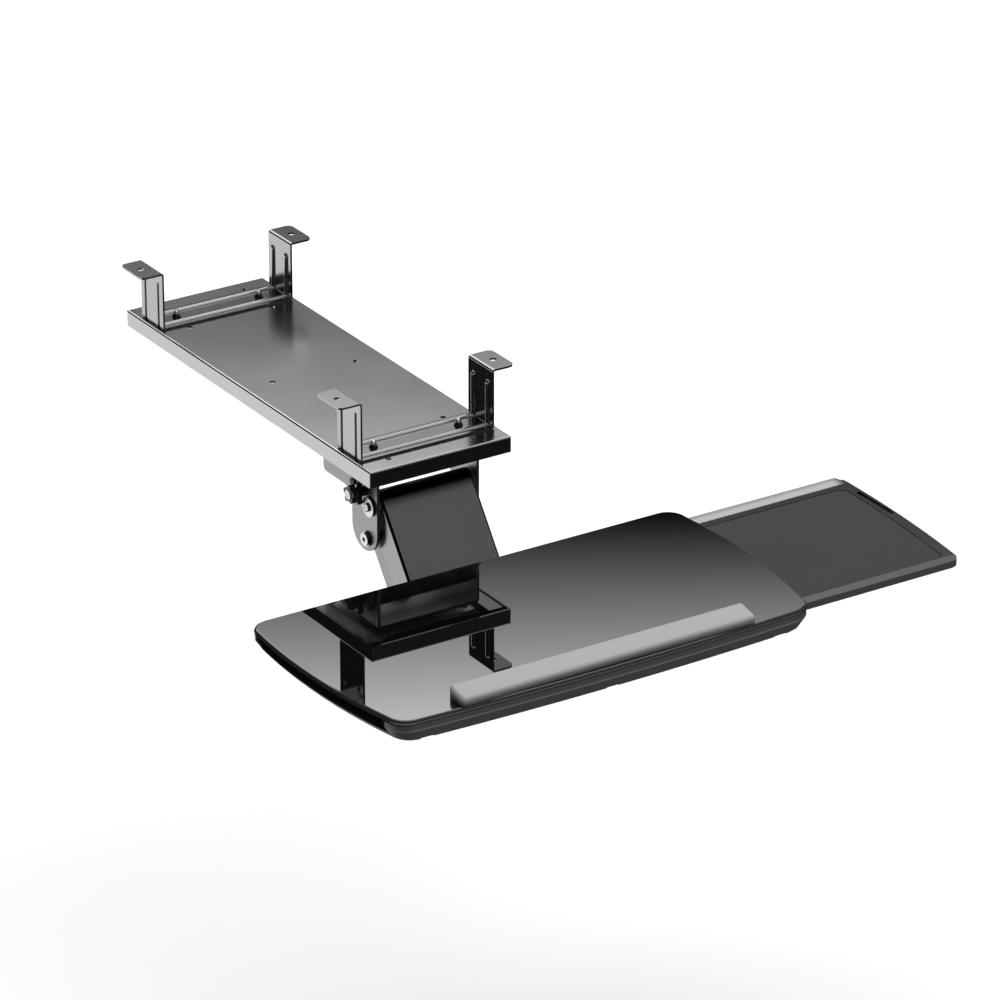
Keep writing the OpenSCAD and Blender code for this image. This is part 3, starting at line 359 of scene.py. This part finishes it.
plateSteel = {"color": (0.41, 0.41, 0.413), "metallic": 1.0, "roughness": 0.19, "bump": 0.015}
riserSteel = {"color": (0.35, 0.35, 0.353), "metallic": 1.0, "roughness": 0.17, "bump": 0.008}
bracketSteel = {"color": (0.27, 0.27, 0.273), "metallic": 1.0, "roughness": 0.36, "bump": 0.02}
blackSteel = {"color": (0.012, 0.012, 0.013), "roughness": 0.35, "specular": 0.2}
railSteel = {"color": (0.55, 0.56, 0.57), "roughness": 0.32}
brightZinc = {"color": (0.66, 0.66, 0.67), "roughness": 0.18}
darkZinc = {"color": (0.10, 0.10, 0.105), "roughness": 0.34}
wornBrass = {"color": (0.60, 0.47, 0.22), "roughness": 0.35}
whiteNylon = {"color": (0.70, 0.70, 0.67), "roughness": 0.45, "bump": 0.15}
blackNylon = {"color": (0.02, 0.02, 0.02), "roughness": 0.5, "bump": 0.2}
knobPlastic = {"color": (0.010, 0.010, 0.010), "roughness": 0.35, "bump": 0.15}
capPlastic = {"color": (0.50, 0.50, 0.505), "metallic": 1.0, "roughness": 0.24, "bump": 0.02}
padCloth = {"color": (0.050, 0.050, 0.052), "roughness": 0.8, "specular": 0.2,
            "threads": 1100.0, "contrast": 0.25, "bump": 0.3, "weaveDepth": 0.00006}
# the panel's edge colour is a painted sheen on its side faces
panelGloss = {"color": (0.003, 0.003, 0.0032), "roughness": 0.3, "spread": 0.004, "bump": 0.0,
              "specular": 0.0, "coatIor": 2.2, "coatRoughness": 0.012, "fade": (0.6, 0.97),
              "edgeSheenColor": (0.05, 0.05, 0.051)}

# bands of these finishes lie at set distances from the ends of their pieces
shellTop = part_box("lower_shell")[1].z
# the shell's crease colour is a painted highlight
shellPlastic = {"color": (0.095, 0.095, 0.096), "roughness": 0.34, "bump": 0.2, "peelScale": 1500.0,
                "crease": shellTop - 0.0062, "creaseHighlightSpan": (0.0009, 0.0004), "creaseHighlightColor": (0.24, 0.24, 0.243)}
deckLow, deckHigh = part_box("platform_frame")
# the platform's front colour is a painted sheen and its lip colour a painted highlight
platformPlastic = {"color": (0.013, 0.013, 0.0135), "roughness": 0.20, "bump": 0.1, "peelScale": 1500.0,
                   "specular": 0.25, "frontSheenColor": (0.080, 0.080, 0.081), "lipHighlightColor": (0.52, 0.52, 0.525),
                   "frontSheenSpan": (deckLow.y + 0.0125, deckLow.y + 0.0115),
                   "lipRise": (deckHigh.z - 0.0045, deckHigh.z - 0.0042),
                   "lipSpan": (deckHigh.y - 0.0090, deckHigh.y - 0.0080),
                   "lipFade": (deckHigh.x - 0.0015, deckHigh.x - 0.0150)}
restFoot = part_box("wrist_rest")[0].z
# the foam's foot colour is painted shade
restFoam = {"color": (0.41, 0.41, 0.414), "roughness": 0.6, "bump": 0.25, "peelScale": 2200.0,
            "peelDepth": 0.00008, "footShadeSpan": (restFoot + 0.0080, restFoot + 0.0005),
            "footShadeColor": (0.09, 0.09, 0.092)}
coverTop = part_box("arm_cover")[1].z
# the cover's fold colour is painted shade
coverSteel = {"color": (0.27, 0.27, 0.273), "metallic": 1.0, "roughness": 0.25, "bump": 0.02,
              "foldShadeColor": (0.008, 0.008, 0.008), "foldFrom": (0.05, 0.20), "foldTo": (0.985, 0.93),
              "bendSpan": (coverTop - 0.0135, coverTop - 0.0025), "outerSpan": (0.2, 0.5)}
# the turned zinc's side colour is painted shade
turnedZinc = {"color": (0.62, 0.62, 0.63), "roughness": 0.36,
              "sideShadeColor": (0.05, 0.05, 0.052), "sideShadeSpan": (0.93, 0.80)}

finishes = {
    "plate_steel": paintFinish("plateEnamel", plateSteel),
    "riser_steel": paintFinish("riserEnamel", riserSteel),
    "bracket_steel": paintFinish("bracketEnamel", bracketSteel),
    "black_steel": paintFinish("blackOxide", blackSteel),
    "rail_steel": metalFinish("railSteel", railSteel),
    "zinc": metalFinish("brightZinc", brightZinc),
    "dark_zinc": metalFinish("darkZinc", darkZinc),
    "brass": metalFinish("wornBrass", wornBrass),
    "white_nylon": paintFinish("whiteNylon", whiteNylon),
    "black_nylon": paintFinish("blackNylon", blackNylon),
    "knob_plastic": paintFinish("knobPlastic", knobPlastic),
    "cap_plastic": paintFinish("capPlastic", capPlastic),
    "shell_plastic": creasedFinish("shellPlastic", shellPlastic),
    "panel_gloss": glossFinish("panelGloss", panelGloss),
    "platform_plastic": lippedFinish("platformPlastic", platformPlastic),
    "pad_fabric": clothFinish("padCloth", padCloth),
    "rest_foam": footedFinish("restFoam", restFoam),
}
# pieces whose finish differs from that of their slot
turned = turnedFinish("turnedZinc", turnedZinc)
ownFinish = {"upper_pivot_washers": turned, "upper_pivot_shaft": turned, "lower_pivot_bolt": turned,
             "lower_pivot_nut": turned, "arm_cover": foldedFinish("coverEnamel", coverSteel)}
slotOf = {row["node"]: row["material_slot"] for row in frame["record"]["subparts"]}
for name, item in nodes.items():
    item.data.materials.clear()
    item.data.materials.append(ownFinish.get(name, finishes[slotOf[name]]))
print("finishes placed:", len(finishes), "by slot,", len(ownFinish), "by piece")


# makes a mesh an object that rides on a body; a mesh without a finish takes its slot's
def linkMesh(name, mesh, body, slot, *standsFor):
    item = bpy.data.objects.new(name, mesh)
    scene.collection.objects.link(item)
    if not mesh.materials:
        mesh.materials.append(finishes[slot])
    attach(item, body)
    if standsFor:
        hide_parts(*standsFor)
    return item


# skins a row of closed rings and caps both ends
def skinRings(name, rings, sharpAngle):
    bm = bmesh.new()
    loops = [[bm.verts.new(point) for point in ring] for ring in rings]
    for a, b in zip(loops[:-1], loops[1:]):
        for j in range(len(a)):
            k = (j + 1) % len(a)
            bm.faces.new((a[j], b[j], b[k], a[k]))
    bm.faces.new(loops[0][::-1])
    bm.faces.new(loops[-1])
    bmesh.ops.recalc_face_normals(bm, faces=bm.faces)
    mesh = bpy.data.meshes.new(name)
    bm.to_mesh(mesh)
    bm.free()
    mesh.shade_smooth()
    mesh.set_sharp_from_angle(angle=math.radians(sharpAngle))
    return mesh


# the wrist rest: a soft foam bar, a little crowned, that slopes to the front
def buildWristRest(look):
    low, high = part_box("wrist_rest")
    rows, turns, edge = look["rows"], look["turns"], look["edge"]
    depth, rearHigh, frontHigh = high[1] - low[1], high[2] - low[2], look["frontHigh"]
    rings = []
    for i in range(rows + 1):
        x = low[0] + (high[0] - low[0]) * (i / rows)
        inward = min(x - low[0], high[0] - x)
        pull = 0.0 if inward >= edge else edge - math.sqrt(max(0.0, edge * edge - (edge - inward) ** 2))
        corners = [(low[1] + pull, low[2]), (high[1] - pull, low[2]),
                   (high[1] - pull, low[2] + rearHigh - pull), (low[1] + pull, low[2] + frontHigh - pull)]
        topRadius = max(look["leastRadius"], edge - pull * 0.5)
        radii = [look["footRadius"], look["footRadius"], topRadius, topRadius]
        ring = []
        for k in range(4):
            here, before, after = Vector(corners[k]), Vector(corners[k - 1]), Vector(corners[(k + 1) % 4])
            a, b = (before - here).normalized(), (after - here).normalized()
            half = math.acos(max(-1, min(1, a.dot(b)))) / 2
            reach = radii[k] / math.tan(half)
            centre = here + (a + b).normalized() * (radii[k] / math.sin(half))
            start, end = here + a * reach - centre, here + b * reach - centre
            for j in range(turns + 1):
                y, z = centre + (start * (1 - j / turns) + end * (j / turns)).normalized() * radii[k]
                up, across = (z - low[2]) / rearHigh, (y - low[1]) / depth
                lift = look["crown"] * up * math.sin(math.pi * across) * min(1.0, inward / look["crownRun"])
                ring.append((x, y, z + lift))
        rings.append(ring)
    mesh = skinRings("wristRestSoft", rings, look["sharp"])
    item = linkMesh("wristRestSoft", mesh, "tray", "rest_foam", "wrist_rest")


buildWristRest({"rows": 160, "turns": 6, "edge": 0.0036, "footRadius": 0.0005, "leastRadius": 0.0006,
                "frontHigh": 0.008, "crown": 0.0003, "crownRun": 0.01, "sharp": 50})
print("wrist rest made")


# the mouse pad: a sheet of cloth on foam, with a rolled edge and a shallow line inside it
def buildMousePad(look):
    low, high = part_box("mouse_pad")
    tall, edge, gap = high[2] - low[2], look["edge"], look["sideGap"]
    top = [v.co for v in nodes["mouse_pad"].data.vertices if v.co.z > high[2] - look["topReach"]]
    rim = sorted({(round(co.x, 6), round(co.y, 6)) for co in top})
    middle = Vector(((low[0] + high[0]) / 2, (low[1] + high[1]) / 2))
    rim.sort(key=lambda q: math.atan2(q[1] - middle.y, q[0] - middle.x))
    rim = [Vector(q) for q in rim]
    outward = []
    for k in range(len(rim)):
        along = (rim[(k + 1) % len(rim)] - rim[k - 1]).normalized()
        outward.append(Vector((along.y, -along.x)))
    profile = [(gap + look["foot"], 0.0), (gap, look["foot"]), (gap, tall - edge)]
    for j in range(1, look["turns"] + 1):
        angle = math.pi / 2 * j / look["turns"]
        profile.append((gap + edge * (1 - math.cos(angle)), tall - edge + edge * math.sin(angle)))
    profile.append((gap + edge + look["seam"], tall - look["dip"]))
    profile.append((gap + edge + 2 * look["seam"], tall))
    rings = [[(*(q - n * inset), low[2] + z) for q, n in zip(rim, outward)] for inset, z in profile]
    mesh = skinRings("mousePadSoft", rings, look["sharp"])
    item = linkMesh("mousePadSoft", mesh, "platform", "pad_fabric", "mouse_pad")


buildMousePad({"edge": 0.0005, "turns": 5, "foot": 0.0002, "sideGap": 0.00005, "seam": 0.0009, "dip": 0.00025,
               "topReach": 0.0001, "sharp": 40})
print("mouse pad made")


# screw threads on the ends of the riser bolts, as rings set along each end by Geometry Nodes
def buildThreads(look):
    sizes = {"Rings": look["rings"], "Pitch": look["pitch"], "Radius": look["radius"], "Ridge": look["ridge"],
             "Finish": finishes["zinc"]}
    tree, given, put = newGroup(
        "threadRings",
        [("Geometry", "NodeSocketGeometry", None), ("Rings", "NodeSocketInt", None),
         ("Pitch", "NodeSocketFloat", None), ("Radius", "NodeSocketFloat", None),
         ("Ridge", "NodeSocketFloat", None), ("Finish", "NodeSocketMaterial", None)],
        [("Geometry", "NodeSocketGeometry")], "GeometryNodeTree")
    line = place(tree, "GeometryNodeMeshLine")
    step = place(tree, "ShaderNodeCombineXYZ")
    feed(tree, given["Pitch"], step.inputs["Z"])
    feed(tree, given["Rings"], line.inputs["Count"])
    feed(tree, step.outputs[0], line.inputs["Offset"])
    path = place(tree, "GeometryNodeCurvePrimitiveCircle")
    path.inputs["Resolution"].default_value = look["ringSides"]
    feed(tree, given["Radius"], path.inputs["Radius"])
    section = place(tree, "GeometryNodeCurvePrimitiveCircle")
    section.inputs["Resolution"].default_value = look["ridgeSides"]
    feed(tree, given["Ridge"], section.inputs["Radius"])
    ring = place(tree, "GeometryNodeCurveToMesh")
    feed(tree, path.outputs["Curve"], ring.inputs["Curve"])
    feed(tree, section.outputs["Curve"], ring.inputs["Profile Curve"])
    onLine = place(tree, "GeometryNodeInstanceOnPoints")
    feed(tree, line.outputs[0], onLine.inputs["Points"])
    feed(tree, ring.outputs[0], onLine.inputs["Instance"])
    onEnds = place(tree, "GeometryNodeInstanceOnPoints")
    feed(tree, given["Geometry"], onEnds.inputs["Points"])
    feed(tree, onLine.outputs[0], onEnds.inputs["Instance"])
    real = place(tree, "GeometryNodeRealizeInstances")
    feed(tree, onEnds.outputs[0], real.inputs[0])
    coat = place(tree, "GeometryNodeSetMaterial")
    feed(tree, real.outputs[0], coat.inputs["Geometry"])
    feed(tree, given["Finish"], coat.inputs["Material"])
    feed(tree, coat.outputs[0], put["Geometry"])
    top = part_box("riser_nuts")[1].z
    starts = []
    for sx in (-1, 1):
        for sy in (-1, 1):
            own = [v.co for v in nodes["riser_nuts"].data.vertices if v.co.x * sx > 0 and v.co.y * sy > 0]
            centre = [(min(q[i] for q in own) + max(q[i] for q in own)) / 2 for i in range(2)]
            starts.append((*centre, top + look["first"]))
    mesh = bpy.data.meshes.new("boltThreadStarts")
    mesh.from_pydata(starts, [], [])
    seed = bpy.data.objects.new("boltThreadStarts", mesh)
    scene.collection.objects.link(seed)
    modifier = seed.modifiers.new("rings", "NODES")
    modifier.node_group = tree
    for socket in tree.interface.items_tree:
        if socket.in_out == "INPUT" and socket.name in sizes:
            modifier[socket.identifier] = sizes[socket.name]
    made = bpy.data.meshes.new_from_object(seed.evaluated_get(bpy.context.evaluated_depsgraph_get()))
    bpy.data.objects.remove(seed)
    made.shade_smooth()
    return linkMesh("boltThreads", made, "track", "zinc")


boltThreads = buildThreads({"rings": 4, "pitch": 0.0008, "radius": 0.00245, "ridge": 0.00018, "first": 0.0006,
                            "ringSides": 40, "ridgeSides": 8})
print("threads made:", len(boltThreads.data.polygons), "faces")


# a pale floor: lamplight and shadow for the camera, plain grey for bounced light, and for gloss a smooth
# fall from white at the rear to black in front; seen from below, it is clear
def buildFloor(look):
    half, level = look["half"], look["height"]
    corners = [(-half, -half, level), (half, -half, level), (half, half, level), (-half, half, level)]
    mesh = bpy.data.meshes.new("studioFloor")
    mesh.from_pydata(corners, [], [(0, 1, 2, 3)])
    floor = bpy.data.objects.new("studioFloor", mesh)
    scene.collection.objects.link(floor)
    material, tree, shader = newMaterial("floorWhite")
    shader.inputs["Base Color"].default_value = (*look["color"], 1)
    shader.inputs["Roughness"].default_value = look["roughness"]
    shader.inputs["Specular IOR Level"].default_value = 0.0
    axes = axesOf(tree, "Object")
    glow = place(tree, "ShaderNodeEmission")
    feed(tree, ramp(tree, axes["Y"], look["glowSpan"], look["glow"], "LINEAR"), glow.inputs["Strength"])
    lit = place(tree, "ShaderNodeAddShader")
    feed(tree, shader.outputs[0], lit.inputs[0])
    feed(tree, glow.outputs[0], lit.inputs[1])
    bounced = place(tree, "ShaderNodeBsdfDiffuse")
    bounced.inputs["Color"].default_value = (*look["bounce"], 1)
    slant = mathStep(tree, "SUBTRACT", axes["Y"], mathStep(tree, "MULTIPLY", axes["X"], look["sideways"]))
    mirrored = place(tree, "ShaderNodeEmission")
    feed(tree, ramp(tree, slant, look["fallSpan"], look["fall"]), mirrored.inputs["Strength"])
    path = place(tree, "ShaderNodeLightPath")
    surface = mixedShader(tree, path.outputs["Is Camera Ray"], bounced, lit)
    surface = mixedShader(tree, path.outputs["Is Glossy Ray"], surface, mirrored)
    side = place(tree, "ShaderNodeNewGeometry")
    clear = place(tree, "ShaderNodeBsdfTransparent")
    surface = mixedShader(tree, side.outputs["Backfacing"], surface, clear)
    feed(tree, surface.outputs[0], tree.nodes["Material Output"].inputs["Surface"])
    floor.data.materials.append(material)


buildFloor({"height": -0.70, "half": 9.0, "color": (0.86, 0.86, 0.86), "roughness": 0.9,
            "bounce": (0.45, 0.45, 0.45), "glowSpan": (0.3, 2.5), "glow": (0.45, 1.05),
            "sideways": 0.45, "fallSpan": (-0.4, 0.85), "fall": (0.0, 1.3)})


# a lamp that lights the object and isn't mirrored in it
def addLamp(name, look):
    data = bpy.data.lights.new(name, "AREA")
    data.shape = "RECTANGLE"
    data.size, data.size_y = look["size"]
    data.energy = look["power"]
    lamp = bpy.data.objects.new(name, data)
    scene.collection.objects.link(lamp)
    lamp.location = look["place"]
    lamp.rotation_mode = "QUATERNION"
    lamp.rotation_quaternion = (Vector(look["aim"]) - Vector(look["place"])).to_track_quat("-Z", "Y")
    lamp.visible_camera = False
    lamp.visible_glossy = False


addLamp("overheadSoftbox", {"size": (2.6, 2.6), "power": 66.0, "place": (0.2, -0.3, 2.4),
                            "aim": (0.0, -0.15, -0.1)})
addLamp("frontSoftbox", {"size": (2.4, 1.6), "power": 26.0, "place": (0.9, -3.2, 0.6),
                         "aim": (0.0, -0.2, -0.15)})


def addBackground(tree):
    node = place(tree, "ShaderNodeBackground")
    node.inputs["Color"].default_value = (1, 1, 1, 1)
    return node


# the surroundings: white for the camera and a faint plain light, and for gloss white overhead, two grey
# strips in front, the lower of which only views from behind mirror, and dark elsewhere
def buildWorld(look):
    world = bpy.data.worlds.new("studioWorld")
    scene.world = world
    world.use_nodes = True
    tree = world.node_tree
    tree.nodes.clear()
    plain, white, mirrored = addBackground(tree), addBackground(tree), addBackground(tree)
    plain.inputs["Strength"].default_value = look["plain"]
    white.inputs["Strength"].default_value = look["white"]
    axes = axesOf(tree, "Generated")
    above = ramp(tree, axes["Z"], look["aboveSpan"], look["above"])
    ahead = ramp(tree, axes["Y"], look["aheadSpan"], look["ahead"])
    low = ramp(tree, axes["Z"], look["lowFrom"])
    low = mathStep(tree, "MULTIPLY", low, ramp(tree, axes["Z"], look["lowTo"]))
    strips = mathStep(tree, "ADD", ramp(tree, axes["Z"], look["highFrom"]), low)
    ahead = mathStep(tree, "MULTIPLY", ahead, strips)
    feed(tree, mathStep(tree, "ADD", above, ahead), mirrored.inputs["Strength"])
    path = place(tree, "ShaderNodeLightPath")
    surface = mixedShader(tree, path.outputs["Is Glossy Ray"], plain, mirrored)
    surface = mixedShader(tree, path.outputs["Is Camera Ray"], surface, white)
    feed(tree, surface.outputs[0], place(tree, "ShaderNodeOutputWorld").inputs["Surface"])


buildWorld({"plain": 0.13, "white": 1.0, "aboveSpan": (0.62, 0.95), "above": (0.006, 1.3),
            "aheadSpan": (0.1, -0.6), "ahead": (0.0, 0.27),
            "highFrom": (0.43, 0.6), "lowFrom": (0.02, 0.12), "lowTo": (0.37, 0.30)})


# a card behind and above, seen only in gloss, that brightens towards its upper left
def addCard(name, look):
    mesh = bpy.data.meshes.new(name)
    mesh.from_pydata(look["corners"], [], [(0, 1, 2, 3)])
    card = bpy.data.objects.new(name, mesh)
    scene.collection.objects.link(card)
    material, tree, shader = newMaterial(name)
    axes = axesOf(tree, "Object")
    climb = mathStep(tree, "SUBTRACT", axes["Z"], mathStep(tree, "MULTIPLY", axes["X"], look["lean"]))
    climb = mathStep(tree, "MAXIMUM", mathStep(tree, "SUBTRACT", climb, look["start"]), 0.0)
    bright = mathStep(tree, "MULTIPLY", mathStep(tree, "POWER", climb, look["curve"]), look["gain"])
    low = ramp(tree, axes["Z"], look["lowSpan"], look["lowGlow"], "LINEAR")
    bright = mathStep(tree, "MINIMUM", mathStep(tree, "ADD", bright, low), look["most"])
    glow = place(tree, "ShaderNodeEmission")
    feed(tree, bright, glow.inputs["Strength"])
    feed(tree, glow.outputs[0], tree.nodes["Material Output"].inputs["Surface"])
    tree.nodes.remove(shader)
    card.data.materials.append(material)
    for ray in ("camera", "diffuse", "shadow", "transmission", "volume_scatter"):
        setattr(card, "visible_" + ray, False)


addCard("rearCard", {"corners": [(-0.6, 2.0, 0.2), (4.5, 2.0, 0.2), (4.5, 2.0, 3.2), (-0.6, 2.0, 3.2)],
                     "lean": 0.243, "start": 0.68, "curve": 1.5, "gain": 12.3, "most": 2.3,
                     "lowSpan": (1.0, 1.12), "lowGlow": (0.15, 0.0)})
print("studio lit")
